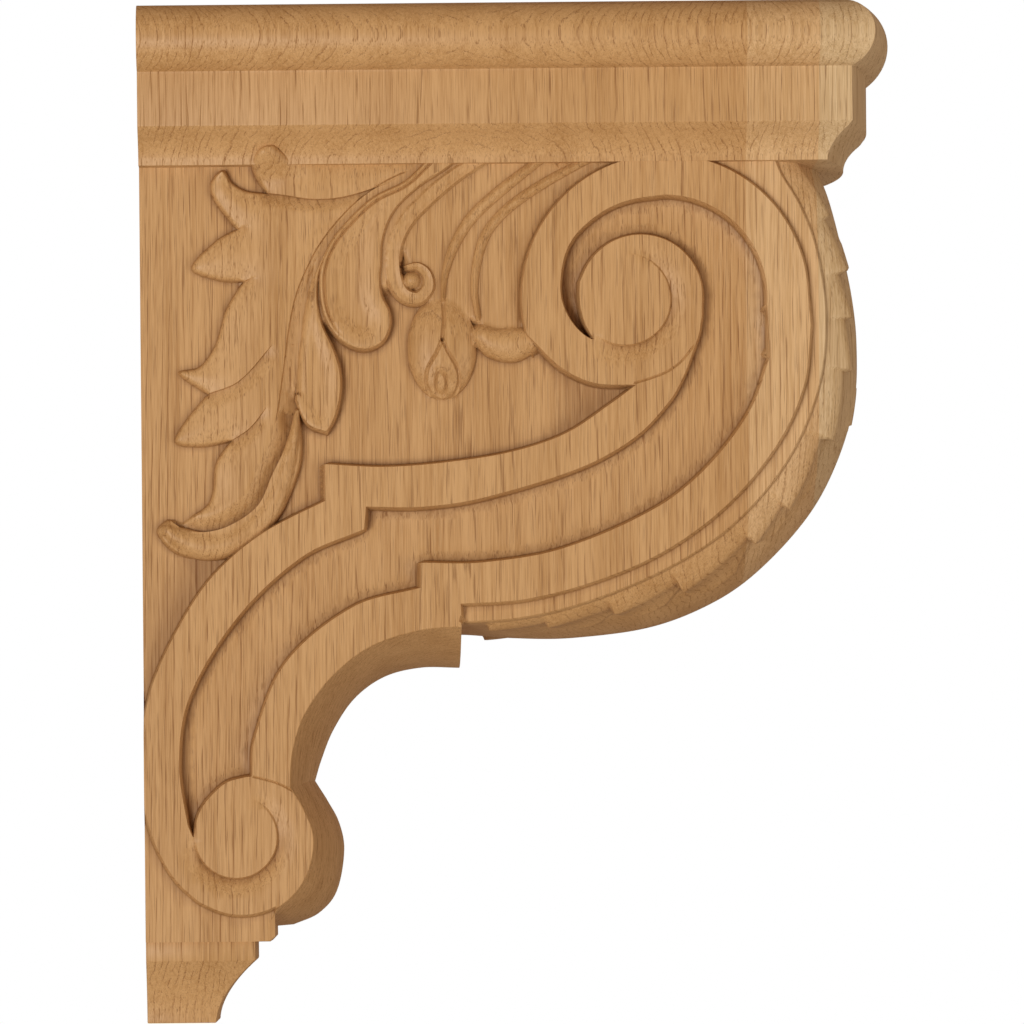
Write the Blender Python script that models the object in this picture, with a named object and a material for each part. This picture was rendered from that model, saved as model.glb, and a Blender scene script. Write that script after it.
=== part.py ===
"""Carved oak corbel bracket, cut from one solid blank.

X runs out from the wall, Y across the width and Z up. The origin is the middle
of the flat back, where the bracket meets the wall. The blank is sawn to a double
scroll and bowed across its front, the ground and the channels are sunk into both
sides, and the cap, the foot, the leaves and the seed pod stand on it.
"""
import math

import bmesh
import bpy
from mathutils import Vector

# Overall sizes, in metres
HEIGHT = 0.356
FASCIA_WIDTH = 0.120
FASCIA_REACH = 0.2495
BODY_WIDTH = 0.103
BODY_REACH = 0.2412

# Cap moulding, returned along both sides
BEAD_HEIGHT = 0.0244
BEAD_SET_BACK = 0.0044
FASCIA_HEIGHT = 0.0188
COVE_HEIGHT = 0.0122
CAP_LEDGE = 0.0003
CAP_BOW = 0.0090

# Foot moulding under the lower scroll
FOOT_HEIGHT = 0.0286
FOOT_FILLET = 0.0068
FOOT_REACH = 0.0384
FOOT_WIDTH = 0.0920
FOOT_COVE_FRONT = 0.0141
FOOT_COVE_SIDE = 0.0100

# Depths of the sunk work below the flat carved faces
GROUND_DEPTH = 0.0065
CHANNEL_DEPTH = 0.0060
STRIP_DEPTH = 0.0050
STEP_DEPTH = 0.0020
BLOCK_DEPTH = 0.0035
LOOSE_CUT = 0.0100

# Heights of the leaf work above the ground
LEAF_HEIGHT = 0.0040
STEM_HEIGHT = 0.0062
CURL_HEIGHT = 0.0058
FLUTE_HEIGHT = 0.0050
POD_HEIGHT = 0.0060
LOBE_HEIGHT = 0.0030
LOBE_ROOT_RISE = 0.35
LOBE_SHOULDER = 0.7
LOBE_SHOULDER_RISE = 0.6
BURIED = 0.0020

# The carving is drawn on a pattern in millimetres: across from a line just off the wall,
# down from the cap
WALL_LINE = -1.1
PATTERN_REACH = 240.1
PATTERN_DROP = 272.0
PITCH = 6.5
FINE_PITCH = 3.6
BOW_STEPS = 5
COVE_STEPS = 5
TONGUE_PITCH = 8.5
END_SHARE = 0.5
LOBE_STEPS = 5
SHARP_ANGLE = math.radians(35)

# Centres and radii of the scrolls on the pattern
VOLUTE = (182.8, 47.7)
VOLUTE_OUTER = 50.0
VOLUTE_INNER = 36.0
INNER_TURN = (173.6, 47.5)
INNER_TURN_RADIUS = 23.2
EYE = (170.6, 47.3)
EYE_RADIUS = 14.9
LOWER_RING = (33.0, 238.0)
LOWER_RING_RADIUS = 25.2
LOWER_EYE = (30.8, 236.2)
LOWER_EYE_RADIUS = 14.3

CAP_HEIGHT = BEAD_HEIGHT + FASCIA_HEIGHT + COVE_HEIGHT
TOP = HEIGHT / 2
UNDERSIDE = TOP - CAP_HEIGHT
BODY_DROP = HEIGHT - CAP_HEIGHT - FOOT_HEIGHT
FACE_Y = BODY_WIDTH / 2

# Front of the bracket on the pattern: a point of the side edge, then the point of the
# middle of the front that faces it
SCROLL_FRONT = [
    (221.5, -5.0, 236.8, -9.0),
    (224.5, 3.4, 239.0, -3.5),
    (231.1, 14.8, 243.7, 8.0),
    (236.4, 28.5, 248.0, 24.5),
    (239.6, 46.0, 252.0, 44.0),
    (240.1, 60.0, 253.6, 60.5),
    (238.0, 77.0, 252.8, 81.0),
    (231.5, 95.4, 246.6, 102.3),
    (221.8, 111.5, 236.2, 121.5),
    (207.5, 127.0, 218.8, 140.5),
    (192.0, 138.2, 202.2, 152.2),
    (172.0, 148.2, 179.5, 161.0),
    (149.1, 156.3, 151.5, 164.6),
    (130.0, 160.2, 130.5, 164.4),
    (110.8, 161.4, 110.8, 162.4),
]
ARCH_FRONT = [
    (110.6, 162.5, 110.6, 175.0),
    (95.7, 163.8, 97.0, 174.8),
    (78.5, 169.4, 83.7, 178.0),
    (64.8, 180.0, 72.9, 185.7),
    (55.2, 193.4, 65.2, 197.0),
    (51.2, 206.0, 60.9, 207.5),
    (50.3, 218.0, 58.6, 215.0),
]
RING_FRONT = [
    (54.8, 225.4, 62.5, 221.2),
    (58.0, 233.5, 67.0, 229.8),
    (58.0, 241.5, 68.8, 240.0),
    (55.4, 249.7, 66.0, 254.5),
    (50.8, 256.2, 58.4, 264.2),
    (45.6, 260.4, 48.5, 267.6),
]
BLOCK_FRONT = [(44.3, 262.5), (44.3, 270.2), (42.6, 272.0)]

# Edges of the flat bands on the pattern
BAND_OUTER = [
    (233.8, 58.0),
    (231.3, 78.4),
    (222.5, 98.1),
    (205.4, 119.0),
    (184.0, 135.2),
    (160.4, 145.8),
    (134.0, 152.7),
    (110.3, 154.3),
]
VOLUTE_HEEL = [(134.8, 60.5), (146.5, 72.0), (158.0, 77.4), (172.6, 78.2)]
BAND_UPPER = [(172.6, 78.2), (163.4, 84.9), (147.8, 95.0), (128.7, 101.3), (105.7, 104.8), (84.0, 106.2), (63.4, 105.1)]
BACK_SCROLL = [(63.3, 117.9), (44.4, 127.2), (32.1, 135.9), (20.5, 147.8), (9.7, 165.3), (2.5, 181.1), (-1.5, 196.0)]
CHANNEL_UPPER = [(77.5, 120.0), (97.4, 120.2), (117.9, 117.4), (153.0, 106.9), (174.6, 94.4), (186.0, 81.4), (193.6, 64.9)]
CHANNEL_LOWER = [
    (96.6, 139.9),
    (117.7, 140.0),
    (146.0, 135.4),
    (178.7, 121.6),
    (196.8, 107.6),
    (212.4, 87.5),
    (219.6, 68.4),
]
CHANNEL_TIP = [(146.9, 44.0), (148.8, 51.3), (153.2, 57.3), (159.7, 62.0)]
EYE_TIP = [(151.6, 40.0), (152.4, 47.0), (154.6, 54.5), (159.7, 62.0)]
DROP_UPPER = [(76.7, 127.9), (55.2, 137.2), (32.0, 158.5), (14.9, 186.5), (11.2, 208.8), (13.9, 230.2), (16.1, 236.0)]
DROP_LOWER = [(36.9, 213.6), (37.8, 201.3), (48.9, 174.6), (72.8, 155.1), (96.4, 148.6)]
RING_BACK = [(-2.0, 222.0), (0.4, 232.0), (4.2, 242.2), (9.8, 251.1), (18.8, 259.0)]

# Leaf plate of the side, from the cap round the lobes to the curled tip and back
LEAF_LOBES = [
    [(52.5, -3.5), (49.2, -6.4), (45.6, -9.0), (40.4, -7.4), (37.9, -2.5), (39.6, 2.9), (43.0, 8.0)],
    [(43.0, 8.0), (36.0, 7.1), (31.0, 4.2), (27.8, -0.2), (23.7, 4.1), (24.5, 9.9), (32.4, 20.5)],
    [(32.4, 20.5), (25.0, 24.8), (16.7, 34.4), (25.7, 38.5), (34.4, 39.3)],
    [(34.4, 39.3), (28.6, 49.0), (24.8, 61.1), (19.0, 69.0), (11.7, 70.9), (21.8, 78.6)],
    [(21.8, 78.6), (13.4, 89.0), (10.4, 95.7), (19.4, 97.2), (29.6, 95.5)],
    [(29.6, 95.5), (24.7, 102.9), (22.1, 116.7), (12.8, 123.5)],
    [(12.8, 123.5), (7.5, 122.8), (3.7, 127.1), (11.3, 135.0), (28.3, 136.3), (43.6, 126.2), (53.8, 105.6), (55.0, 88.0)],
]
LEAF_SPINE = [(55.0, 88.0), (53.6, 67.1), (57.3, 45.9), (69.2, 20.6), (90.6, 4.5), (100.0, -4.0)]

# Raised stems, drops and curls: middle line and half width at each point, then the height
TONGUES = {
    "curled_stem": (
        [(7, 128, 3.0), (22, 131.5, 5.0), (38, 124, 5.2), (49, 106, 4.6), (51.5, 84, 3.4), (53.5, 58, 2.4), (64, 30, 1.2)],
        STEM_HEIGHT,
    ),
    "drop_leaf": (
        [(57.5, 52, 2.5), (60, 62, 6.0), (61.5, 72, 7.8), (61.3, 82, 8.2), (62.8, 89, 5.0), (64.3, 94.5, 0.8)],
        LEAF_HEIGHT,
    ),
    "curl_leaf": (
        [(97, 3, 3.0), (86, 12, 7.0), (77, 24, 10.0), (72.5, 38, 11.5), (74.5, 50, 11.8), (76.5, 58, 10.2), (77.5, 64, 4.5)],
        CURL_HEIGHT,
    ),
    "small_scroll_stem": (
        [(120, 1, 1.6), (99.5, 11.5, 3.4), (91.8, 19.5, 3.4), (88.2, 28, 3.5), (88.2, 37, 3.5), (91.3, 43.6, 3.3),
         (96.3, 45.2, 3.0), (100.3, 41.5, 2.4), (100, 36.5, 1.4)],
        FLUTE_HEIGHT,
    ),
    "middle_flute": ([(135, 1, 1.8), (119, 13, 2.4), (109, 28, 2.2), (105.4, 44, 1.4)], FLUTE_HEIGHT),
    "broad_flute": ([(152, 1.5, 1.8), (131, 13.5, 2.4), (120, 28, 2.4), (117.4, 50, 1.6)], FLUTE_HEIGHT),
    "ring_flute": ([(152, 10, 2.0), (134, 24, 4.5), (127, 40, 5.5), (128, 54, 4.0)], LEAF_HEIGHT),
    "right_curl": ([(118.5, 57, 3.5), (124, 61.5, 6.0), (130, 62, 6.8), (135, 61.5, 6.0), (138.2, 61.5, 3.0)], CURL_HEIGHT),
}
SMALL_SCROLL_EYE = (94.8, 38.6)
SMALL_SCROLL_EYE_RADIUS = 4.6
POD = (104.7, 64.3)
POD_HALF_ACROSS = 12.3
POD_HALF_DOWN = 18.4

# Steps cut round the scrolls: centre, radius, first and last angle, and how far the cut
# spreads past that radius, as a share of it
SCROLL_STEPS = {
    "eye_step": (EYE, EYE_RADIUS, 222, 450, 0.45),
    "volute_step": (INNER_TURN, INNER_TURN_RADIUS + 5.0, 266, 318, 0.20),
    "lower_eye_step": (LOWER_EYE, LOWER_EYE_RADIUS, 190, 420, 0.40),
    "ring_step": (LOWER_RING, LOWER_RING_RADIUS, 30, 112, 0.22),
}

# Leaf of the front: where each lobe starts along the scroll, from 0 at the cap to 1 at the
# tip, and where the last one may end, then a lobe's length and half width, as shares of the
# scroll and of the half width
FIRST_LOBE = 0.04
LEAF_END = 1.005
LOBE_SPACING = 0.104
LOBE_LENGTH = 0.13
LOBE_HALF_LENGTH_SPREAD = 0.030
LOBE_HALF_WIDTH = 0.143
LOBE_ROOT = 0.62
LOBE_TIP = 0.16


def on_pattern(across, down):
    """World X and Z of a point of the pattern."""
    across = (across - WALL_LINE) / (PATTERN_REACH - WALL_LINE)
    return across * BODY_REACH, UNDERSIDE - down * BODY_DROP / PATTERN_DROP


def smooth_line(points, pitch=PITCH):
    """A rounded line through hand-set points, with a point about every pitch."""
    knots = [Vector(point) for point in points]
    spans = [(b.xy - a.xy).length for a, b in zip(knots, knots[1:])]
    slopes = [(knots[1] - knots[0]) / spans[0]]
    for i in range(1, len(knots) - 1):
        slopes.append((knots[i + 1] - knots[i - 1]) / (spans[i - 1] + spans[i]))
    slopes.append((knots[-1] - knots[-2]) / spans[-1])
    line = []
    for i, span in enumerate(spans):
        steps = max(1, round(span / pitch))
        for step in range(steps):
            t = step / steps
            line.append(
                knots[i] * (2 * t**3 - 3 * t**2 + 1)
                + slopes[i] * span * (t**3 - 2 * t**2 + t)
                + knots[i + 1] * (3 * t**2 - 2 * t**3)
                + slopes[i + 1] * span * (t**3 - t**2)
            )
    return line + [knots[-1]]


def arc(centre, radius, start, end, pitch=PITCH):
    """Points of an arc. Angles are in degrees from straight across, rising towards the cap."""
    steps = max(2, round(abs(math.radians(end - start)) * radius / pitch))
    turn = [math.radians(start + (end - start) * i / steps) for i in range(steps + 1)]
    return [Vector((centre[0] + radius * math.cos(a), centre[1] - radius * math.sin(a))) for a in turn]


def finish_solid(name, bm):
    """Turn a closed bmesh into an object whose faces point out."""
    bm.normal_update()
    bmesh.ops.recalc_face_normals(bm, faces=bm.faces)
    mesh = bpy.data.meshes.new(name)
    bm.to_mesh(mesh)
    bm.free()
    return bpy.data.objects.new(name, mesh)


def loft(name, rings):
    """A closed solid through rings of corners, with a flat face on the first and the last ring."""
    bm = bmesh.new()
    loops = [[bm.verts.new(corner) for corner in ring] for ring in rings]
    for lower, upper in zip(loops, loops[1:]):
        for i in range(len(lower)):
            j = (i + 1) % len(lower)
            bm.faces.new((lower[i], lower[j], upper[j], upper[i]))
    bm.faces.new(list(reversed(loops[0])))
    bm.faces.new(loops[-1])
    return finish_solid(name, bm)


def slab(name, outline, near, far):
    """A pattern outline as a solid between two distances from the middle plane."""
    corners = [on_pattern(point[0], point[1]) for point in outline]
    return loft(name, [[(x, -distance, z) for x, z in corners] for distance in (near, far)])


def bow(share):
    """Share of the front's bulge, from 0 at the flat edge to 1 in the middle of the width."""
    return 1 - (1 - share) ** 2


def front_line():
    """The whole front from the cap to the foot, as side and middle points on the pattern."""
    block = [Vector((across, down, across, down)) for across, down in BLOCK_FRONT]
    scroll = smooth_line(SCROLL_FRONT)
    return scroll + smooth_line(ARCH_FRONT) + smooth_line(RING_FRONT, FINE_PITCH) + block


def make_blank():
    """The sawn double scroll, square at its edges and bowed across the rest of its front."""
    line = front_line()
    flat_edge = FACE_Y - GROUND_DEPTH
    shares = [i / BOW_STEPS for i in range(BOW_STEPS + 1)]
    half = [(FACE_Y, 0.0)] + [(flat_edge * (1 - share), bow(share)) for share in shares]
    stations = [(-y, bulge) for y, bulge in half] + [(y, bulge) for y, bulge in reversed(half[:-1])]
    rings = []
    for y, bulge in stations:
        front = [on_pattern(*(point.xy + (Vector(point[2:]) - point.xy) * bulge)) for point in line]
        back = [on_pattern(WALL_LINE, PATTERN_DROP), on_pattern(WALL_LINE, SCROLL_FRONT[0][1])]
        rings.append([(x, y, z) for x, z in front + back])
    return loft("carved_bracket", rings)


def hollow(share):
    """Share of a cove's depth that is reached at a share of its height, from its top."""
    return 1 - (1 - share) ** 1.8


def cap_profile():
    """How far each edge of the cap stands out past the fascia, and how far it is below the top."""
    radius = BEAD_HEIGHT / 2
    lowest = -math.degrees(math.acos(BEAD_SET_BACK / radius))
    bead = [math.radians(90 + (lowest - 90) * i / 8) for i in range(9)]
    profile = [(-BEAD_SET_BACK + radius * math.cos(a), radius - radius * math.sin(a)) for a in bead]
    cove_top = BEAD_HEIGHT + FASCIA_HEIGHT
    cove_in = (FASCIA_WIDTH - BODY_WIDTH) / 2 - CAP_LEDGE
    profile.append((0.0, BEAD_HEIGHT))
    for step in range(COVE_STEPS + 1):
        share = step / COVE_STEPS
        profile.append((-cove_in * hollow(share), cove_top + COVE_HEIGHT * share))
    return profile


def make_cap():
    """The returned cap: a bead, a fascia and a small cove, with a bowed front."""
    rings = []
    for proud, below in cap_profile():
        half = FASCIA_WIDTH / 2 + proud
        reach = FASCIA_REACH + proud
        across = [-1 + i / BOW_STEPS for i in range(2 * BOW_STEPS + 1)]
        front = [(reach + CAP_BOW * (1 - t * t), t * half) for t in across]
        plan = [(0, -half)] + front + [(0, half)]
        rings.append([(x, y, TOP - below) for x, y in plan])
    return loft("cap_moulding", rings)


def make_foot():
    """The foot moulding: a fillet over a cove that is returned along both sides."""
    bottom = -TOP
    levels = [(0.0, FOOT_HEIGHT + BURIED), (0.0, FOOT_HEIGHT - FOOT_FILLET)]
    for step in range(1, COVE_STEPS + 1):
        share = step / COVE_STEPS
        levels.append((hollow(share), (FOOT_HEIGHT - FOOT_FILLET) * (1 - share)))
    rings = []
    for inward, above in levels:
        half = FOOT_WIDTH / 2 - FOOT_COVE_SIDE * inward
        reach = FOOT_REACH - FOOT_COVE_FRONT * inward
        rings.append([(x, y, bottom + above) for x, y in ((0, -half), (reach, -half), (reach, half), (0, half))])
    return loft("foot_moulding", rings)


def ground_outline():
    """The sunk ground between the wall, the cap and the scroll's flat band."""
    ring_side = arc(VOLUTE, VOLUTE_OUTER, 104, 195)[:-1]
    heel = smooth_line(VOLUTE_HEEL)[:-1]
    step = [Vector(BAND_UPPER[-1])]
    corner = [Vector((-20.0, 200.0)), Vector((-20.0, -8.0)), Vector((168.0, -8.0))]
    return ring_side + heel + smooth_line(BAND_UPPER)[:-1] + step + smooth_line(BACK_SCROLL) + corner


def channel_outline():
    """The channel that runs from the volute's eye down into the lower scroll."""
    upper = smooth_line(CHANNEL_UPPER) + arc(INNER_TURN, INNER_TURN_RADIUS, -30, 150, FINE_PITCH)
    upper = upper + smooth_line(EYE_TIP, FINE_PITCH)[:-1]
    lower = smooth_line(CHANNEL_LOWER)[:-1] + arc(VOLUTE, VOLUTE_INNER, -6, 174)[1:]
    lower = lower + smooth_line(CHANNEL_TIP, FINE_PITCH)
    eye = arc(LOWER_EYE, LOWER_EYE_RADIUS + 6.0, 72, 150, FINE_PITCH)
    drop = smooth_line(DROP_UPPER)
    return upper + list(reversed(lower)) + list(reversed(smooth_line(DROP_LOWER))) + eye + list(reversed(drop))


def strip_outline():
    """The lower strip between the flat band and the leafy front edge."""
    inner = arc(VOLUTE, VOLUTE_OUTER, 78, 0)[:-1] + smooth_line(BAND_OUTER)
    outer = [(110.5, 158.4), (124.0, 190.0), (200.0, 190.0), (290.0, 100.0), (290.0, -8.0), (196.0, -8.0)]
    return inner + [Vector(point) for point in outer]


def step_outline(centre, radius, start, end, spread):
    """A crescent cut round part of a scroll, widest half way along."""
    inner = arc(centre, radius, start, end, FINE_PITCH)
    last = len(inner) - 1
    middle = Vector(centre)
    outer = [p + (p - middle) * spread * math.sin(math.pi * i / last) for i, p in enumerate(inner)]
    return inner + list(reversed(outer[1:-1]))


def block_outline():
    """The plain block behind the lower ring, which is a little lower than the ring."""
    ring = smooth_line(RING_BACK) + arc(LOWER_RING, LOWER_RING_RADIUS, -118, -62)[1:]
    rest = [(52.0, 266.0), (60.0, 280.0), (-20.0, 280.0), (-20.0, 222.0)]
    return ring + [Vector(point) for point in rest]


def leaf_outline():
    """The big leaf of the side: its lobes, its curled tip and its straight back."""
    outline = []
    for lobe in LEAF_LOBES:
        outline += smooth_line(lobe, PITCH)[:-1]
    return outline + smooth_line(LEAF_SPINE)


def tongue(name, spine, height):
    """A rounded ridge along a line on the side: a row of D-shaped sections, lower at both ends."""
    line = smooth_line(spine, TONGUE_PITCH)
    last = len(line) - 1
    arch = [math.radians(180 - 45 * i) for i in range(1, 4)]
    rings = []
    for i, point in enumerate(line):
        ahead = (line[min(i + 1, last)] - line[max(i - 1, 0)]).xy.normalized()
        side = Vector((-ahead.y, ahead.x))
        top = height if 0 < i < last else height * END_SHARE
        section = [(-1.0, -BURIED)] + [(math.cos(a), top * math.sin(a)) for a in arch] + [(1.0, -BURIED)]
        rings.append([on_side(point.xy + side * (point.z * across), lift) for across, lift in section])
    return loft(name, rings)


def on_side(point, lift):
    """Place a pattern point on the sunk ground of the near side."""
    x, z = on_pattern(point.x, point.y)
    return x, -(FACE_Y - GROUND_DEPTH + lift), z


def on_front(point, lift):
    """Place a point of the front: x is the way along the scroll, y the share of the half width."""
    line = smooth_line(SCROLL_FRONT)
    along = min(max(point.x, 0.0), 0.999) * (len(line) - 1)
    first = int(along)
    spot = line[first].lerp(line[first + 1], along - first)
    out = (Vector(spot[2:]) - spot.xy).normalized()
    share = min(max(point.y, 0.0), 1.0)
    reached = spot.xy + (Vector(spot[2:]) - spot.xy) * bow(share) + out * (lift * 1000)
    x, z = on_pattern(*reached)
    return x, -(FACE_Y - GROUND_DEPTH) * (1 - share), z


def front_lobe(name, start):
    """One shingled lobe of the front leaf, from near the middle band out to the side edge."""
    rings = []
    for i in range(LOBE_STEPS + 1):
        share = i / LOBE_STEPS
        swell = math.sin(math.pi * (0.12 + 0.80 * share)) ** 0.6
        middle = Vector((start + LOBE_LENGTH * share, LOBE_ROOT + (LOBE_TIP - LOBE_ROOT) * share**1.3))
        spread = Vector((LOBE_HALF_LENGTH_SPREAD, LOBE_HALF_WIDTH)) * swell
        rise = LOBE_HEIGHT * (LOBE_ROOT_RISE + (1 - LOBE_ROOT_RISE) * share if i < LOBE_STEPS else END_SHARE)
        shoulder = rise * LOBE_SHOULDER_RISE
        section = [(-1.0, -BURIED), (-LOBE_SHOULDER, shoulder), (0.0, rise), (LOBE_SHOULDER, shoulder), (1.0, -BURIED)]
        rings.append([on_front(middle + spread * across, lift) for across, lift in section])
    return loft(name, rings)


def dome(name, centre, half_across, half_down, height):
    """A rounded boss that stands on the ground of the near side."""
    bm = bmesh.new()
    bmesh.ops.create_uvsphere(bm, u_segments=16, v_segments=8, radius=1.0)
    x, y, z = on_side(Vector(centre), 0.0)
    for vert in bm.verts:
        vert.co = Vector((x + vert.co.x * half_across / 1000, y + vert.co.z * height, z + vert.co.y * half_down / 1000))
    return finish_solid(name, bm)


def keep_as_tool(piece, collection, mirrored=True):
    """Put a cutter or an added form in its collection, on both sides where it is carved twice."""
    collection.objects.link(piece)
    piece.hide_render = True
    piece.display_type = "WIRE"
    if mirrored:
        mirror = piece.modifiers.new("other_side", "MIRROR")
        mirror.use_axis = (False, True, False)
        mirror.merge_threshold = 0.00001


def carve(blank, sunk, raised):
    """Cut the sunk work, join the raised work, and keep the carved shape as the blank's own mesh."""
    for name, operation, collection in (("sink", "DIFFERENCE", sunk), ("raise", "UNION", raised)):
        boolean = blank.modifiers.new(name, "BOOLEAN")
        boolean.operation = operation
        boolean.operand_type = "COLLECTION"
        boolean.collection = collection
        boolean.solver = "EXACT"
    bpy.context.view_layer.update()
    carved = bpy.data.meshes.new_from_object(blank.evaluated_get(bpy.context.evaluated_depsgraph_get()))
    blank.modifiers.clear()
    blank.data = carved
    carved.shade_smooth()
    carved.set_sharp_from_angle(angle=SHARP_ANGLE)
    for collection in (sunk, raised):
        for tool in list(collection.objects):
            bpy.data.objects.remove(tool)
        bpy.data.collections.remove(collection)


def oak():
    """Pale tan oak with a dull clear finish."""
    material = bpy.data.materials.new("oak")
    material.use_nodes = True
    shader = material.node_tree.nodes["Principled BSDF"]
    shader.inputs["Base Color"].default_value = (0.50, 0.29, 0.14, 1.0)
    shader.inputs["Roughness"].default_value = 0.5
    shader.inputs["Metallic"].default_value = 0.0
    return material


def main():
    for old in list(bpy.data.objects):
        bpy.data.objects.remove(old)
    scene = bpy.context.scene
    sunk = bpy.data.collections.new("sunk_work")
    raised = bpy.data.collections.new("raised_work")
    for collection in (sunk, raised):
        scene.collection.children.link(collection)

    past_face = FACE_Y + LOOSE_CUT
    keep_as_tool(slab("ground", ground_outline(), FACE_Y - GROUND_DEPTH, past_face), sunk)
    keep_as_tool(slab("channel", channel_outline(), FACE_Y - CHANNEL_DEPTH, past_face), sunk)
    keep_as_tool(slab("strip", strip_outline(), FACE_Y - STRIP_DEPTH, past_face), sunk)
    keep_as_tool(slab("block", block_outline(), FACE_Y - BLOCK_DEPTH, past_face), sunk)
    for name, shape in SCROLL_STEPS.items():
        keep_as_tool(slab(name, step_outline(*shape), FACE_Y - STEP_DEPTH, past_face), sunk)

    keep_as_tool(make_cap(), raised, mirrored=False)
    keep_as_tool(make_foot(), raised, mirrored=False)
    base = FACE_Y - GROUND_DEPTH
    keep_as_tool(slab("leaf", leaf_outline(), base - BURIED, base + LEAF_HEIGHT), raised)
    for name, (spine, height) in TONGUES.items():
        keep_as_tool(tongue(name, spine, height), raised)
    eye = SMALL_SCROLL_EYE_RADIUS
    keep_as_tool(dome("small_scroll_eye", SMALL_SCROLL_EYE, eye, eye, CURL_HEIGHT), raised)
    keep_as_tool(dome("seed_pod", POD, POD_HALF_ACROSS, POD_HALF_DOWN, POD_HEIGHT), raised)
    front_lobes = 1 + int((LEAF_END - FIRST_LOBE - LOBE_LENGTH) / LOBE_SPACING)
    for number in range(front_lobes):
        keep_as_tool(front_lobe(f"front_lobe_{number}", FIRST_LOBE + LOBE_SPACING * number), raised)

    bracket = make_blank()
    scene.collection.objects.link(bracket)
    carve(bracket, sunk, raised)
    bracket.data.materials.clear()
    bracket.data.materials.append(oak())


main()
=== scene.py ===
"""Carved oak corbel bracket, seen square from its side.

The pattern is in millimetres: across from a line just off the wall, down from the
underside of the cap.
"""
import math

import bmesh
import bpy
import numpy as np
from mathutils import Matrix, Vector
from mathutils.bvhtree import BVHTree
from mathutils.geometry import delaunay_2d_cdt


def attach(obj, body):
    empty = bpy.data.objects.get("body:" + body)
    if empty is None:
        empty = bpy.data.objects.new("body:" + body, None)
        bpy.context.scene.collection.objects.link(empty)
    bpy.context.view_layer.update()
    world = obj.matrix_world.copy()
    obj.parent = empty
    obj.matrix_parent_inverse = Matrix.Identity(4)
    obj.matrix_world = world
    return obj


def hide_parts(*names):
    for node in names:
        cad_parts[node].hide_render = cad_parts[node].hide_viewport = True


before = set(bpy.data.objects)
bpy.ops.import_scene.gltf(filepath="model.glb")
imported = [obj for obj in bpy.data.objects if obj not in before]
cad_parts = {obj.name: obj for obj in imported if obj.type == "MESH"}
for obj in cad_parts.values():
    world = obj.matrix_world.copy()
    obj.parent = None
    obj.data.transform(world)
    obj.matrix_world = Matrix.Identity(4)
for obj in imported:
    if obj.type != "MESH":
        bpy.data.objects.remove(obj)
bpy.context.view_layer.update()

# The carved side. The real one is a flat oak face 103 mm across its two sides, with the
# ground, a channel and a hollow strip sunk into it by gouge, so that the bands of the
# double scroll stand proud with crisp walls.
FACE = 51.5
UNDERSIDE = 122.6
WALL_LINE = -1.1
BEHIND_CAP = -3.0
GROUND = -6.5
CHANNEL = -6.0
BLOCK = -3.5
STRIP = -3.6
STRIP_STEP = -1.4
WALL = 1.25
FOOT_LINE = 272.0
ARRIS = 0.5

SCROLL_FRONT = [
    (221.5, -5.0, 236.8, -9.0),
    (224.5, 3.4, 239.0, -3.5),
    (231.1, 14.8, 243.7, 8.0),
    (236.4, 28.5, 248.0, 24.5),
    (239.6, 46.0, 252.0, 44.0),
    (240.1, 60.0, 253.6, 60.5),
    (238.0, 77.0, 252.8, 81.0),
    (231.5, 95.4, 246.6, 102.3),
    (221.8, 111.5, 236.2, 121.5),
    (207.5, 127.0, 218.8, 140.5),
    (192.0, 138.2, 202.2, 152.2),
    (172.0, 148.2, 179.5, 161.0),
    (149.1, 156.3, 151.5, 164.6),
    (130.0, 160.2, 130.5, 164.4),
    (110.8, 161.4, 110.8, 162.4),
]
ARCH_FRONT = [
    (110.6, 162.5, 110.6, 175.0),
    (95.7, 163.8, 97.0, 174.8),
    (78.5, 169.4, 83.7, 178.0),
    (64.8, 180.0, 72.9, 185.7),
    (55.2, 193.4, 65.2, 197.0),
    (51.2, 206.0, 60.9, 207.5),
    (50.3, 218.0, 58.6, 215.0),
]
RING_FRONT = [
    (54.8, 225.4, 62.5, 221.2),
    (58.0, 233.5, 67.0, 229.8),
    (58.0, 241.5, 68.8, 240.0),
    (55.4, 249.7, 66.0, 254.5),
    (50.8, 256.2, 59.4, 262.4),
    (45.6, 260.4, 50.5, 266.3),
]
BLOCK_FRONT = [
    (44.3, 262.5, 44.3, 266.8),
    (44.3, 270.2, 44.3, 270.2),
    (42.6, FOOT_LINE, 42.6, FOOT_LINE),
]


def smooth(points, pitch=1.2):
    """A rounded line through given points, with a point about every pitch."""
    knots = np.array(points, float)
    spans = np.linalg.norm(np.diff(knots[:, :2], axis=0), axis=1)
    slopes = np.empty_like(knots)
    slopes[0] = (knots[1] - knots[0]) / spans[0]
    slopes[-1] = (knots[-1] - knots[-2]) / spans[-1]
    slopes[1:-1] = (knots[2:] - knots[:-2]) / (spans[:-1] + spans[1:])[:, None]
    line = []
    for i, span in enumerate(spans):
        steps = max(1, round(span / pitch))
        t = (np.arange(steps) / steps)[:, None]
        line.append(
            knots[i] * (2 * t**3 - 3 * t**2 + 1)
            + slopes[i] * span * (t**3 - 2 * t**2 + t)
            + knots[i + 1] * (3 * t**2 - 2 * t**3)
            + slopes[i + 1] * span * (t**3 - t**2)
        )
    return np.vstack(line + [knots[-1:]])


def arc(centre, radius, start, end, pitch=1.2):
    """Points of an arc. Angles are in degrees from straight across, rising towards the cap."""
    steps = max(2, round(abs(math.radians(end - start)) * radius / pitch))
    turn = np.radians(np.linspace(start, end, steps + 1))
    return np.column_stack((centre[0] + radius * np.cos(turn), centre[1] - radius * np.sin(turn)))


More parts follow.
